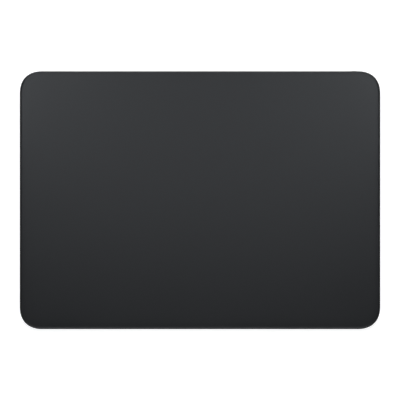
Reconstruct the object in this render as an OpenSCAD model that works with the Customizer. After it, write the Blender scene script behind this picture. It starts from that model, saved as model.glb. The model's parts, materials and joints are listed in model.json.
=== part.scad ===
// Wedge-shaped wireless trackpad: a matte black glass surface carried on four force-sensing
// beams inside a shallow aluminium frame, with a haptic actuator, two flat cells, a type C
// charging port and a sliding power switch.
// Millimetres. X runs to the right, Y to the rear, Z up. The origin is on the desk under the
// middle of the body. Pieces of the glass stack lie in a tilted frame whose Z leaves the glass.

/* [Body] */
// Width of the body, left to right
body_w = 160; // [158:0.5:176]
// Depth of the body, front to rear, without the switch's nub
body_d = 114.3; // [113:0.1:126]
// Height of the glass over the desk at the front edge
front_h = 4.9; // [4.8:0.05:6]
// Height of the glass over the desk at the rear edge
rear_h = 10.9; // [10.8:0.05:12]
// Corner radius of the body in plan
corner_r = 9.2; // [8.6:0.1:11]
// Thickness of the frame's upright walls
wall_t = 1.4; // [1.3:0.05:1.5]

/* [Glass and touch board] */
// Thickness of the glass
glass_t = 1.0; // [0.8:0.05:1.1]
// Width of the curved edge of the glass
edge_w = 1.3; // [0.8:0.05:1.5]
// Radius of the curved edge of the glass
edge_r = 2.6; // [2:0.05:3.2]
// Open line between the glass and the top of the frame
glass_gap = 0.3; // [0.25:0.05:0.4]
// Thickness of the adhesive sheet under the glass
glue_t = 0.1; // [0.05:0.05:0.15]
// Thickness of the touch sensor board
touch_t = 0.6; // [0.5:0.05:0.7]
// Thickness of the steel stiffener under the touch board
stiff_t = 0.4; // [0.3:0.05:0.5]
// Room round the touch board inside the walls
touch_gap = 0.6; // [0.5:0.05:0.9]

/* [Suspension] */
// How far the surface sinks under a finger
press_travel = 0.2; // [0.1:0.05:0.25]
// Diameter of a gel pad
pad_dia = 7; // [5:0.5:8]
// Thickness of a gel pad
pad_t = 0.3; // [0.25:0.05:0.4]
// Length of a force beam
beam_len = 24; // [22:0.5:27]
// Width of a force beam
beam_w = 10; // [9:0.5:11]
// Thickness of a force beam
beam_t = 0.4; // [0.3:0.05:0.45]
// Distance of the beams' middles from the front and rear of the body
beam_inset = 15.15; // [14.15:0.5:17.15]

/* [Bottom] */
// Thickness of the bottom cover
cover_t = 0.7; // [0.6:0.05:0.8]
// Height of the cover over the desk
cover_lift = 0.6; // [0.5:0.05:0.8]
// Diameter of a rubber foot
foot_dia = 9; // [7:0.5:11]
// Distance of the feet from the sides of the body
foot_inset_x = 14; // [12:0.5:18]
// Distance of the feet from the front and rear of the body
foot_inset_y = 13; // [12:0.5:18]

/* [Battery] */
// Corner radius of a cell in plan
cell_r = 1.5; // [1:0.1:2.5]

/* [Main board] */
// Room between each end of the main board and the switch's bracket
board_end_gap = 5.6; // [4:0.1:7]
// Depth of the main board
board_d = 13; // [12.6:0.1:14]
// Thickness of the main board
board_t = 0.8; // [0.7:0.05:0.9]
// Room between the cover and the underside of the main board
board_lift = 1.6; // [1.5:0.05:1.8]

/* [Charging port] */
// Outer width of the receptacle
port_w = 8.94; // [8.8:0.02:9.1]
// Outer height of the receptacle
port_h = 3.16; // [3.1:0.02:3.3]
// Wall of the receptacle
port_wall = 0.3; // [0.25:0.01:0.35]
// Depth of the receptacle
port_len = 7.3; // [6.8:0.1:7.8]

/* [Power switch] */
// Distance of the switch's nub from the right side of the body
switch_inset = 11.2; // [11:0.1:13]
// Height of the switch over the desk
switch_z = 5.3; // [5.1:0.05:5.5]
// Sideways travel of the switch
switch_travel = 2.8; // [2:0.1:3]
// How far the nub stands proud of the rear wall
nub_proud = 0.6; // [0.4:0.05:0.8]

/* [Haptic actuator] */
// Number of poles on the actuator's core
pole_count = 4; // [2:1:4]
// Distance from pole to pole
pole_pitch = 5.2; // [4.9:0.1:5.4]
// Air gap between the poles and the armature
air_gap = 0.4; // [0.3:0.05:0.6]

/* [Hidden] */
$fn = 64;

// Run-past of a cut, and how far a rib or shelf is let into the wall that carries it
overrun = 5;
bite = 0.7;
// Running and seating clearances
slide_gap = 0.05;
thread_gap = 0.02;
hole_gap = 0.1;

// The wedge: slope of the glass, its length along the slope and its height at the middle
slope = atan((rear_h - front_h) / body_d);
glass_w = body_w;
glass_d = body_d / cos(slope);
mid_h = (front_h + rear_h) / 2;
inner_w = body_w - 2 * wall_t;
inner_d = body_d - 2 * wall_t;
inner_r = corner_r - wall_t;
rear_face = body_d / 2;
rear_inner = inner_d / 2;

// Depths under the glass's top face, measured square to it
glue_depth = glass_t;
touch_depth = glue_depth + glue_t;
stiff_depth = touch_depth + touch_t;
pad_depth = stiff_depth + stiff_t;
beam_depth = pad_depth + pad_t;
shelf_depth = beam_depth + beam_t;
wall_depth = glass_t + glass_gap;
press_margin = 0.2;
free_depth = pad_depth + press_travel + press_margin;

// Screws: shank diameter, head diameter and head height
screw_dia = 1.2;
head_dia = 2.2;
head_h = 0.35;
head_room = 0.5;

// Bottom cover, its rim in the frame and the ledge that it is glued to
cover_z = cover_lift;
cover_top = cover_z + cover_t;
cover_inset = 2.4;
cover_gap = 0.1;
tape_t = 0.1;
tape_w = 1.2;
ledge_w = 1.5;
ledge_z = cover_top + tape_t;
cover_w = body_w - 2 * cover_inset;
cover_d = body_d - 2 * cover_inset;
cover_r = corner_r - cover_inset;
foot_sink = 0.2;
foot_h = cover_lift + foot_sink;
foot_bevel = 0.3;

// Power switch
nub_x = body_w / 2 - switch_inset;
nub_w = 2;
nub_h = 1.6;
knob_w = 5;
knob_h = 2.2;
knob_sink = 0.3;
slot_h = 2.4;
slot_skin = 0.9;
slot_gap = 0.1;
slot_right = nub_x + knob_w / 2 + slot_gap;
slot_w = knob_w + switch_travel + 2 * slot_gap;
slot_mid = slot_right - slot_w / 2;
keeper_w = 7.2;
keeper_h = 4;
keeper_t = 0.45;
pocket_gap = 0.4;
keeper_y = rear_face - slot_skin - slide_gap - keeper_t;
mount_t = 0.5;
mount_gap = 0.35;
mount_h = 6;
mount_w = 14.8;
mount_right = nub_x + keeper_w / 2;
mount_left = mount_right - mount_w;
mount_y = keeper_y - mount_gap - mount_t;
mount_screw_inset = 1.8;
mount_screw_x = mount_left + mount_screw_inset;
mount_screw_gap = 3;
mount_boss_w = 3.6;
screw_len = rear_inner - mount_y - mount_t + wall_t / 2;
post_w = 1.6;
post_h = 1.2;
post_len = 2.3;
post_slot_gap = 0.2;
slit_left = nub_x - switch_travel - post_w / 2 - post_slot_gap;
housing_size = [8, 3.4, 3];
housing_slot = 1.8;
film_w = 2.4;
film_t = 0.05;
switch_lead_w = 3;

// Main board
board_z = cover_top + board_lift;
board_top = board_z + board_t;
board_rear_gap = 2.25;
board_rear = rear_inner - board_rear_gap;
board_front = board_rear - board_d;
board_w = 2 * (mount_left - board_end_gap);
tab_inset = 6;
tab_middle = 18;
tab_end = board_w / 2 - tab_inset;
tab_x = [-tab_end, -tab_middle, tab_middle, tab_end];
tab_w = 5;
tab_t = 1;
tab_len = 7.5;
tab_screw_inset = 3.5;
tab_screw_y = board_rear - tab_screw_inset;
board_screw_dia = 1.4;
board_head_dia = 2.6;
// Chips under the board: places as shares of its half width, then widths and depths
under_chip_x_shares = [-0.19, 0.15, 0.33, 0.52, 0.66, 0.79];
under_chip_sizes = [[4, 3], [7, 7], [4, 4], [5, 5], [3, 3], [3, 6]];
under_chip_t = 0.9;
shield_size = [20, 7, 1.1];
shield_wall = 0.15;
shield_x_share = -0.577;
shield_x = shield_x_share * board_w / 2;
under_inset = 4.2;
under_y = board_front + under_inset;

// Beams, shelves and the frame's crossbar
root_gap = 1;
beam_root = inner_w / 2 - root_gap;
beam_y = body_d / 2 - beam_inset;
root_len = 9;
beam_screw_inset = 4;
beam_screw_gap = 6;
pad_inset = 4;
shelf_len = 14;
shelf_t = 1;
rib_w = 3;
rib_len = 4;
gauge_size = [5, 4, 0.08];
gauge_inset = 3.5;
bracket_t = 0.5;
bar_depth = free_depth + head_h + bracket_t;
bar_t = 1.2;
bar_w = 8;
bar_run = 42.5;
bar_rear = board_front - bar_run;
bar_y = bar_rear - bar_w / 2;

// Haptic actuator: comb core under a bracket, wound poles and the armature on the plate
core_x0 = -12;
core_back_w = 2.5;
pole_end = 6;
pole_w = 2.2;
coil_wall = 0.9;
coil_lid = 0.5;
coil_x0 = -8.5;
coil_len = 12;
core_gap = 3;
core_y0 = bar_rear + core_gap;
core_w = (pole_count - 1) * pole_pitch + pole_w;
core_depth = bar_depth + slide_gap + coil_lid;
core_floor_gap = 0.3;
pole_h = (top_at(core_y0) - cover_top) * cos(slope) - core_depth - coil_lid - core_floor_gap;
bracket_x0 = -14;
bracket_x1 = 5;
bracket_screw_inset = 2.5;
armature_x = pole_end + air_gap;
armature_w = 2.5;
armature_flange_w = 6.6;
armature_flange_t = 0.5;
// Lane beside the armature for the touch board's ribbon
flex_w = 5;
lane_gap = 1;

// Touch board, stiffener and what hangs under them
touch_w = inner_w - 2 * touch_gap;
touch_d = inner_d - 2 * touch_gap;
touch_r = inner_r - touch_gap;
chip_t = 0.8;
chip_run = 20;
chip_y = bar_y - chip_run;
chip_list = [[-14, 8], [-2, 6], [7, 4], [13, 3]];
chip_window = [38, 12];
chip_window_x = -1;
touch_plug = [6, 3, 1];
touch_plug_x = armature_x + armature_flange_w + lane_gap + flex_w / 2;
plug_run = 9;
touch_plug_y = bar_y - plug_run;
plug_room = 1;

// Battery cells lie between the crossbar and the board, beside the middle channel
strip_t = 0.15;
strip_w = 8;
cell_side_gap = 3.6;
cell_bar_gap = 2.2;
cell_board_gap = 2.5;
cell_top_gap = 0.05;
cell_x0 = armature_x + armature_flange_w + 2 * lane_gap + flex_w;
cell_x1 = inner_w / 2 - cell_side_gap;
cell_y0 = bar_rear + cell_bar_gap;
cell_y1 = board_front - cell_board_gap;
cell_z = cover_top + strip_t;
cell_t = mid_h + cell_y0 * tan(slope) - free_depth / cos(slope) - cell_z - cell_top_gap;
cell_seal_w = 1.6;
cell_seal_t = 0.3;

// Protection board of the battery, its tabs and its cable
pcm_size = [24, 11, 0.8];
pcm_setback = 6;
pcm_y = cell_y1 - pcm_setback;
pcm_z = cell_z;
pcm_top = pcm_z + pcm_size[2];
pcm_chip = [5, 3, 0.8];
tab_strip_w = 3;
tab_strip_t = 0.15;
tab_lap = 1.5;
tab_strip_gap = 5;
battery_cable_w = 6;
battery_cable_t = 0.2;
battery_plug = [8, 3, 1];
battery_plug_x = -5;

// Flexible circuits
flex_t = 0.15;
flex_lane = 3;
gauge_strip_w = 3;
strip_gap = 0.5;
gauge_lane_x = bracket_x0 - strip_gap - gauge_strip_w / 2;
gauge_strip_t = 0.12;
gauge_plug = [4, 3, 1];
board_plug_h = 1.2;
plug_setback = 0.6;

// Coaxial lead from the radio to the antenna
coax_dia = 0.8;
coax_bend = 2;
coax_drop = 1;
coax_plug_dia = 2;
coax_plug_h = 0.5;
coax_z = board_top + coax_plug_h + coax_drop;
coax_run = 6;
coax_inset = 5.5;
antenna_size = [24, 5, 2];
antenna_gap = 0.4;
coax_x = -tab_end + antenna_size[0] / 2 + coax_run;
coax_y = board_front + coax_inset;
antenna_y = rear_inner - antenna_gap;
antenna_foil_t = 0.1;

// Charging port: receptacle on the board, set back from the rear face
port_setback = 0.2;
port_fit = 0.08;
port_z = board_top;
port_mid = port_z + port_h / 2;
port_face = rear_face - port_setback;
tongue_size = [6.69, 4.45, 0.7];
tongue_block = 2.2;
contact_size = [0.25, 3.6, 0.05];
contact_pitch = 0.5;
contact_count = 12;
strap_t = 0.4;
strap_y = 3;
ear_w = 4.2;
ear_screw = 2.2;

glass_black = "#2b2c2e";
alu_silver = "#c9cbcd";
rubber_grey = "#3a3b3d";
board_green = "#1f4a35";
mask_black = "#1c1d20";
steel_grey = "#9b9da0";
copper = "#b4703c";
gold = "#c9a24a";
polyimide = "#b5772a";
cell_grey = "#70747a";
gel_clear = "#d8dcdc";
signal_green = "#3fae49";
liner_white = "#e8e8e6";

// Places its children in the tilted frame: origin in the middle of the glass's top face
module tilted() {
    translate([0, 0, mid_h]) rotate([slope, 0, 0]) children();
}

// A layer of the stack: an outline made solid, from the given depth downward
module layer(depth, thick) {
    translate([0, 0, -depth - thick]) linear_extrude(thick) children();
}

// Height of the glass's top face over the desk at a place along Y
function top_at(y) = mid_h + y * tan(slope);

// Rectangle with rounded corners
module rounded_2d(w, d, r) {
    square([w - 2 * r, d], center = true);
    square([w, d - 2 * r], center = true);
    for (x = [-1, 1], y = [-1, 1])
        translate([x * (w / 2 - r), y * (d / 2 - r)]) circle(r);
}

// Flat slot with round ends
module stadium_2d(w, h) {
    square([w - h, h], center = true);
    for (x = [-1, 1]) translate([x * (w - h) / 2, 0]) circle(h / 2);
}

// Sweeps a profile round a rounded rectangle. The profile's X runs outward from the corner
// radius' centre to the outer face, and its Y runs up.
module swept(w, d, r) {
    for (i = [0 : 3]) {
        along = i % 2 == 0 ? w : d;
        across = i % 2 == 0 ? d : w;
        rotate([0, 0, 90 * i]) translate([-(along / 2 - r), across / 2 - r, 0]) {
            rotate([90, 0, 90]) linear_extrude(along - 2 * r) children();
            rotate([0, 0, 90]) rotate_extrude(angle = 90) children();
        }
    }
}

// Ribbon along a list of [place, height] points, one thickness tall, drawn in its side view
module ribbon_2d(points, thick) {
    n = len(points);
    polygon(concat(points, [for (i = [n - 1 : -1 : 0]) points[i] + [0, thick]]));
}

// Upright extrusions of a side view: along X from a Y-Z view, along Y from an X-Z view
module side_yz(x0, w) {
    translate([x0, 0, 0]) rotate([90, 0, 90]) linear_extrude(w) children();
}
module side_xz(y0, w) {
    translate([0, y0 + w, 0]) rotate([90, 0, 0]) linear_extrude(w) children();
}

// Puts its children at the four beams; they are drawn for the right rear one
module at_beams() {
    for (x = [0, 1], y = [-1, 1]) mirror([x, 0, 0]) translate([0, y * beam_y, 0]) children();
}

// Glass: flat sheet whose top edge falls away in an arc
module glass_edge_2d() {
    translate([0, -glass_t]) square([corner_r - edge_w, glass_t]);
    intersection() {
        translate([corner_r - edge_w, -edge_r]) circle(edge_r);
        translate([corner_r - edge_w, -glass_t]) square([edge_w, 2 * glass_t]);
    }
}
module touch_glass() {
    color(glass_black) tilted() {
        swept(glass_w, glass_d, corner_r) glass_edge_2d();
        layer(0, glass_t) square([glass_w - 2 * corner_r, glass_d - 2 * corner_r], center = true);
    }
}

module glass_adhesive() {
    color(mask_black) tilted() layer(glue_depth, glue_t) rounded_2d(touch_w, touch_d, touch_r);
}

module touch_board() {
    color(board_green) tilted() layer(touch_depth, touch_t) rounded_2d(touch_w, touch_d, touch_r);
}

module touch_chips() {
    color(mask_black) tilted() layer(stiff_depth, chip_t)
        for (c = chip_list) translate([c[0], chip_y]) square(c[1], center = true);
}

module touch_connector() {
    color(mask_black) tilted() layer(stiff_depth, touch_plug[2])
        translate([touch_plug_x, touch_plug_y]) square([touch_plug[0], touch_plug[1]], center = true);
}

// Stiffener: windows for chips and plug, notches over the beams' screw heads
module stiffener_plate() {
    notch = [beam_screw_inset + head_dia / 2 + head_room, beam_screw_gap + head_dia + 2 * head_room];
    color(steel_grey) tilted() layer(stiff_depth, stiff_t) difference() {
        rounded_2d(touch_w, touch_d, touch_r);
        translate([chip_window_x, chip_y]) square(chip_window, center = true);
        translate([touch_plug_x, touch_plug_y])
            square([touch_plug[0] + 2 * plug_room, touch_plug[1] + 2 * plug_room], center = true);
        for (x = [0, 1], y = [-1, 1]) mirror([x, 0])
            translate([beam_root - notch[0], y * beam_y - notch[1] / 2])
                square([notch[0] + overrun, notch[1]]);
    }
}

// Armature: soft iron bar beside the poles, with a flange welded to the stiffener
module armature_bar() {
    color(steel_grey) tilted() {
        layer(pad_depth, armature_flange_t) translate([armature_x, core_y0])
            square([armature_flange_w, core_w]);
        layer(pad_depth, core_depth + pole_h - pad_depth) translate([armature_x, core_y0])
            square([armature_w, core_w]);
    }
}

module gel_pads() {
    color(gel_clear) tilted() layer(pad_depth, pad_t) for (x = [-1, 1], y = [-1, 1])
        translate([x * (beam_root - beam_len + pad_inset), y * beam_y]) circle(d = pad_dia);
}

// Frame wall in section: round lower edge, rim round the cover and ledge over it
module frame_wall_2d() {
    rim_in = corner_r - cover_inset + cover_gap;
    wall_in = corner_r - wall_t;
    translate([wall_in, cover_z + wall_t]) square([wall_t, rear_h]);
    intersection() {
        translate([wall_in, cover_z + wall_t]) circle(wall_t);
        translate([wall_in, cover_z - wall_t]) square([2 * wall_t, 2 * wall_t]);
    }
    translate([rim_in, cover_z]) square([wall_in - rim_in, ledge_z - cover_z]);
    translate([rim_in - ledge_w, ledge_z])
        square([wall_in - rim_in + ledge_w, cover_z + wall_t - ledge_z]);
}
// Machined frame: walls, crossbar, beam shelves, board tabs and the openings at the rear
module case_frame() {
    color(alu_silver) difference() {
        union() {
            difference() {
                swept(body_w, body_d, corner_r) frame_wall_2d();
                tilted() translate([-body_w, -body_d, -wall_depth]) cube([2 * body_w, 2 * body_d, rear_h]);
            }
            tilted() layer(bar_depth, bar_t) translate([0, bar_y])
                square([inner_w + 2 * bite, bar_w], center = true);
            tilted() at_beams() layer(shelf_depth, shelf_t)
                translate([beam_root - root_len, -shelf_len / 2])
                    square([inner_w / 2 + bite - beam_root + root_len, shelf_len]);
            for (y = [-1, 1], x = [0, 1]) mirror([x, 0, 0])
                translate([inner_w / 2 - rib_w, y * beam_y - rib_len / 2, ledge_z])
                    cube([rib_w + bite, rib_len, top_at(y * beam_y) - shelf_depth - shelf_t / 2 - ledge_z]);
            for (x = tab_x) translate([x - tab_w / 2, rear_inner - tab_len, board_top])
                cube([tab_w, tab_len + bite, tab_t]);
            translate([mount_screw_x - mount_boss_w / 2, mount_y + mount_t, switch_z - mount_h / 2])
                cube([mount_boss_w, rear_inner + bite - mount_y - mount_t, mount_h]);
        }
        frame_cuts();
    }
}
module frame_cuts() {
    translate([0, rear_face + overrun, port_mid]) rotate([90, 0, 0])
        linear_extrude(2 * overrun) stadium_2d(port_w + 2 * port_fit, port_h + 2 * port_fit);
    translate([slot_mid, rear_face + overrun, switch_z]) rotate([90, 0, 0])
        linear_extrude(2 * overrun) stadium_2d(slot_w, slot_h);
    translate([nub_x - switch_travel - keeper_w / 2 - pocket_gap,
            rear_face - slot_skin - overrun, switch_z - keeper_h / 2 - pocket_gap])
        cube([keeper_w + switch_travel + 2 * pocket_gap, overrun, keeper_h + 2 * pocket_gap]);
    for (x = tab_x) translate([x, tab_screw_y, board_top - overrun])
        cylinder(h = 2 * overrun, d = board_screw_dia + 2 * thread_gap);
    mount_screw_places(mount_y + mount_t + screw_len)
        cylinder(h = overrun, d = screw_dia + 2 * thread_gap);
    tilted() at_beams() beam_screw_places() translate([0, 0, -shelf_depth - overrun])
        cylinder(h = 2 * overrun, d = screw_dia + 2 * thread_gap);
    for (x = [bracket_x0 + bracket_screw_inset, bracket_x1 - bracket_screw_inset])
        tilted() translate([x, bar_y, -bar_depth - overrun])
            cylinder(h = 2 * overrun, d = screw_dia + 2 * thread_gap);
}
// The two screw places of the switch bracket, with Z pointing to the front
module mount_screw_places(y) {
    for (z = [-1, 1]) translate([mount_screw_x, y, switch_z + z * mount_screw_gap / 2])
        rotate([90, 0, 0]) children();
}

// The two screw places at the root of the right rear beam
module beam_screw_places() {
    for (y = [-1, 1]) translate([beam_root - beam_screw_inset, y * beam_screw_gap / 2, 0]) children();
}

// Bottom cover with a shallow pocket for each foot
module bottom_cover() {
    color(alu_silver) difference() {
        translate([0, 0, cover_z]) linear_extrude(cover_t) rounded_2d(cover_w, cover_d, cover_r);
        foot_places() translate([0, 0, -overrun])
            cylinder(h = overrun + foot_h, d = foot_dia + 2 * hole_gap);
    }
}
module foot_places() {
    for (x = [-1, 1], y = [-1, 1])
        translate([x * (body_w / 2 - foot_inset_x), y * (body_d / 2 - foot_inset_y), 0]) children();
}

module cover_adhesive() {
    color(mask_black) translate([0, 0, cover_top]) linear_extrude(tape_t) difference() {
        rounded_2d(cover_w, cover_d, cover_r);
        rounded_2d(cover_w - 2 * tape_w, cover_d - 2 * tape_w, cover_r - tape_w);
    }
}

module rubber_feet() {
    r = foot_dia / 2;
    color(rubber_grey) foot_places() rotate_extrude()
        polygon([[0, 0], [r - foot_bevel, 0], [r, foot_bevel], [r, foot_h], [0, foot_h]]);
}

// Force beams: spring steel leaves screwed to the shelves, free towards the middle
module force_beams() {
    color(steel_grey) tilted() at_beams() layer(beam_depth, beam_t) difference() {
        translate([beam_root - beam_len, -beam_w / 2]) square([beam_len, beam_w]);
        for (y = [-1, 1]) translate([beam_root - beam_screw_inset, y * beam_screw_gap / 2])
            circle(d = screw_dia + 2 * hole_gap);
    }
}

module strain_gauges() {
    color(polyimide) tilted() at_beams() layer(shelf_depth, gauge_size[2])
        translate([beam_root - root_len - gauge_inset - gauge_size[0], -gauge_size[1] / 2])
            square([gauge_size[0], gauge_size[1]]);
}

// One machine screw whose head lies on z = 0 and whose shank runs down
module screw(shank, dia, head, high) {
    cylinder(h = high, d = head);
    translate([0, 0, -shank]) cylinder(h = shank, d = dia);
}
module beam_screws() {
    color(steel_grey) tilted() at_beams() beam_screw_places() translate([0, 0, -beam_depth])
        screw(beam_t + shelf_t, screw_dia, head_dia, head_h);
}

// Bracket that carries the actuator's core behind the crossbar
module actuator_bracket() {
    color(steel_grey) tilted() layer(bar_depth - bracket_t, bracket_t) difference() {
        translate([bracket_x0, bar_y - bar_w / 2])
            square([bracket_x1 - bracket_x0, core_y0 + core_w - bar_y + bar_w / 2]);
        for (x = [bracket_x0 + bracket_screw_inset, bracket_x1 - bracket_screw_inset])
            translate([x, bar_y]) circle(d = screw_dia + 2 * hole_gap);
    }
}
module actuator_core() {
    color(steel_grey) tilted() {
        layer(bar_depth, core_depth + pole_h - bar_depth) translate([core_x0, core_y0])
            square([core_back_w, core_w]);
        layer(core_depth, pole_h) for (i = [0 : pole_count - 1])
            translate([core_x0, core_y0 + i * pole_pitch]) square([pole_end - core_x0, pole_w]);
    }
}
module actuator_coils() {
    color(copper) tilted() for (i = [0 : pole_count - 1])
        translate([coil_x0, core_y0 + i * pole_pitch + pole_w / 2, -core_depth - pole_h / 2])
            rotate([90, 0, 90]) linear_extrude(coil_len) difference() {
                square([pole_w + 2 * coil_wall, pole_h + 2 * coil_lid], center = true);
                square([pole_w + 2 * slide_gap, pole_h + 2 * slide_gap], center = true);
            }
}
module actuator_screws() {
    color(steel_grey) tilted() for (x = [bracket_x0 + bracket_screw_inset, bracket_x1 - bracket_screw_inset])
        translate([x, bar_y, -bar_depth + bracket_t]) screw(bracket_t + bar_t, screw_dia, head_dia, head_h);
}

// Main board under the frame's tabs
module main_board() {
    color(board_green) difference() {
        translate([-board_w / 2, board_front, board_z]) cube([board_w, board_d, board_t]);
        for (x = tab_x) translate([x, tab_screw_y, board_z - overrun])
            cylinder(h = 2 * overrun, d = board_screw_dia + 2 * hole_gap);
        ear_places() translate([0, 0, -overrun]) cylinder(h = 2 * overrun, d = screw_dia + 2 * thread_gap);
    }
}
module board_chips() {
    color(mask_black) for (i = [0 : len(under_chip_sizes) - 1]) {
        c = under_chip_sizes[i];
        x = under_chip_x_shares[i] * board_w / 2;
        translate([x - c[0] / 2, under_y - c[1] / 2, board_z - under_chip_t])
            cube([c[0], c[1], under_chip_t]);
    }
}
// Shield can over the radio, open towards the board
module radio_shield() {
    s = shield_size;
    color(steel_grey) translate([shield_x - s[0] / 2, under_y - s[1] / 2, board_z - s[2]]) difference() {
        cube(s);
        translate([shield_wall, shield_wall, shield_wall])
            cube([s[0] - 2 * shield_wall, s[1] - 2 * shield_wall, s[2]]);
    }
}
module board_screws() {
    color(steel_grey) for (x = tab_x) translate([x, tab_screw_y, board_z]) rotate([180, 0, 0])
        screw(board_t + tab_t, board_screw_dia, board_head_dia, head_h);
}
// Sockets on the board for the flexible circuits, the battery and the antenna lead
module board_connectors() {
    y = board_front + plug_setback;
    color(mask_black) {
        translate([touch_plug_x - touch_plug[0] / 2, y, board_top])
            cube([touch_plug[0], touch_plug[1], board_plug_h]);
        translate([battery_plug_x - battery_plug[0] / 2, y, board_top]) cube(battery_plug);
        translate([gauge_lane_x - gauge_plug[0] / 2, y, board_top]) cube(gauge_plug);
        translate([coax_x, coax_y, board_top]) cylinder(h = coax_plug_h, d = coax_plug_dia);
    }
}

// Two pouch cells with a thin sealed edge towards the middle channel
module battery_cells() {
    w = cell_x1 - cell_x0 - cell_seal_w;
    d = cell_y1 - cell_y0;
    color(cell_grey) for (x = [0, 1]) mirror([x, 0, 0]) {
        translate([cell_x1 - w / 2, (cell_y0 + cell_y1) / 2, cell_z])
            linear_extrude(cell_t) rounded_2d(w, d, cell_r);
        translate([cell_x0, cell_y0 + cell_r, pcm_top])
            cube([cell_seal_w + bite, d - 2 * cell_r, cell_seal_t]);
    }
}
module battery_adhesive() {
    w = cell_x1 - cell_x0 - cell_seal_w;
    color(liner_white) {
        for (x = [0, 1], y = [cell_y0 + cell_r, cell_y1 - cell_r - strip_w]) mirror([x, 0, 0])
            translate([cell_x1 - w + cell_r, y, cover_top])
                cube([w - 2 * cell_r, strip_w, strip_t]);
        translate([-pcm_size[0] / 2, pcm_y - pcm_size[1] / 2, cover_top])
            cube([pcm_size[0], pcm_size[1], strip_t]);
    }
}
module battery_board() {
    color(board_green) translate([-pcm_size[0] / 2, pcm_y - pcm_size[1] / 2, pcm_z]) cube(pcm_size);
    color(mask_black) translate([0, pcm_y, pcm_top]) translate([-pcm_chip[0] / 2, -pcm_chip[1] / 2, 0])
        cube(pcm_chip);
}
// Nickel tabs from each cell's sealed edge to the protection board
module cell_tabs() {
    x0 = pcm_size[0] / 2 - tab_lap;
    color(steel_grey) for (x = [0, 1], y = [-1, 1]) mirror([x, 0, 0])
        translate([x0, pcm_y + y * tab_strip_gap / 2 - tab_strip_w / 2, pcm_top])
            cube([cell_x0 - x0, tab_strip_w, tab_strip_t]);
}
module battery_cable() {
    y0 = pcm_y + pcm_size[1] / 2 - tab_lap;
    y1 = board_front + plug_setback;
    z1 = board_top + battery_plug[2] / 2;
    color(mask_black) side_yz(battery_plug_x - battery_cable_w / 2, battery_cable_w)
        ribbon_2d([[y0, pcm_top], [y0 + tab_lap, pcm_top], [y1 - plug_setback, z1], [y1, z1]],
            battery_cable_t);
}

// Flexible circuit from the touch board, over the crossbar, to the main board
module touch_flex() {
    y0 = touch_plug_y + touch_plug[1] / 2 + (stiff_depth + touch_plug[2]) * sin(slope);
    y1 = board_front + plug_setback;
    z0 = top_at(y0) - stiff_depth - touch_plug[2] / 2;
    z1 = board_top + board_plug_h / 2;
    zb = top_at(bar_rear) - (free_depth + bar_depth) / 2;
    ym = (bar_rear + y1) / 2;
    color(polyimide) side_yz(touch_plug_x - flex_w / 2, flex_w)
        ribbon_2d([[y0, z0], [bar_y, zb], [bar_rear, zb], [ym - flex_w, z1 - flex_w * flex_t],
            [ym + flex_w, z1 - flex_w * flex_t], [y1 - flex_w, z1], [y1, z1]], flex_t);
}

// Flexible circuits of the strain gauges: a tee on the cover for the front pair, two risers
// down to the ends of the main board for the rear pair
module gauge_flex() {
    gauge_in = beam_root - root_len - gauge_inset - gauge_size[0];
    front_z = top_at(-beam_y) - (shelf_depth + gauge_size[2]) / cos(slope);
    rear_z = top_at(beam_y) - (shelf_depth + gauge_size[2]) / cos(slope);
    t = gauge_strip_t;
    drop = t + gauge_strip_w * tan(slope);
    rise = front_z - cover_top - t;
    lie = [gauge_in - rise - flex_w, cover_top];
    color(polyimide) {
        for (x = [0, 1]) mirror([x, 0, 0]) {
            side_xz(-beam_y - gauge_strip_w / 2, gauge_strip_w)
                ribbon_2d([lie, lie + [flex_w, 0], [gauge_in, front_z - drop],
                    [gauge_in + flex_w / 2, front_z - drop]], t);
            side_xz(beam_y - gauge_strip_w / 2, gauge_strip_w)
                ribbon_2d([[board_w / 2 - flex_lane, board_top], [board_w / 2, board_top],
                    [gauge_in, rear_z - drop], [gauge_in + flex_w / 2, rear_z - drop]], t);
        }
        translate([-lie[0], -beam_y - gauge_strip_w / 2, cover_top]) cube([2 * lie[0], gauge_strip_w, t]);
        translate([gauge_lane_x - gauge_strip_w / 2, -beam_y, cover_top])
            cube([gauge_strip_w, board_front - cell_board_gap + beam_y, t]);
        side_yz(gauge_lane_x - gauge_strip_w / 2, gauge_strip_w)
            ribbon_2d([[cell_y1 - cell_board_gap, cover_top], [cell_y1, cover_top],
                [board_front, board_top + t], [board_front + plug_setback, board_top + t]], t);
    }
}

module switch_flex() {
    y0 = mount_y - housing_size[1] + slide_gap;
    z1 = switch_z - post_h;
    x1 = nub_x - housing_size[0] / 2 - switch_travel / 2;
    color(polyimide) side_xz(y0 - switch_lead_w / 2, switch_lead_w)
        ribbon_2d([[board_w / 2 - flex_lane, board_top], [board_w / 2, board_top],
            [x1 - flex_lane, z1], [x1, z1]], flex_t);
}

// Receptacle of the charging port: drawn tube with round ends
module port_shell() {
    color(steel_grey) translate([0, port_face, port_mid]) rotate([90, 0, 0])
        linear_extrude(port_len) difference() {
            stadium_2d(port_w, port_h);
            stadium_2d(port_w - 2 * port_wall, port_h - 2 * port_wall);
        }
}
// Tongue with the block that closes the receptacle at the rear
module port_tongue() {
    back = port_face - port_len;
    tip = back + tongue_block + tongue_size[1];
    color(mask_black) {
        translate([0, back + tongue_block, port_mid]) rotate([90, 0, 0]) linear_extrude(tongue_block)
            stadium_2d(port_w - 2 * port_wall - 2 * thread_gap, port_h - 2 * port_wall - 2 * thread_gap);
        translate([-tongue_size[0] / 2, back + tongue_block, port_mid - tongue_size[2] / 2])
            cube([tongue_size[0], tip - back - tongue_block, tongue_size[2]]);
    }
}
module port_contacts() {
    y0 = port_face - port_len + tongue_block;
    color(gold) for (i = [0 : contact_count - 1], z = [0, 1]) {
        x = (i - (contact_count - 1) / 2) * contact_pitch;
        translate([0, 0, port_mid]) mirror([0, 0, z])
            translate([x - contact_size[0] / 2, y0, tongue_size[2] / 2]) cube(contact_size);
    }
}
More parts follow.
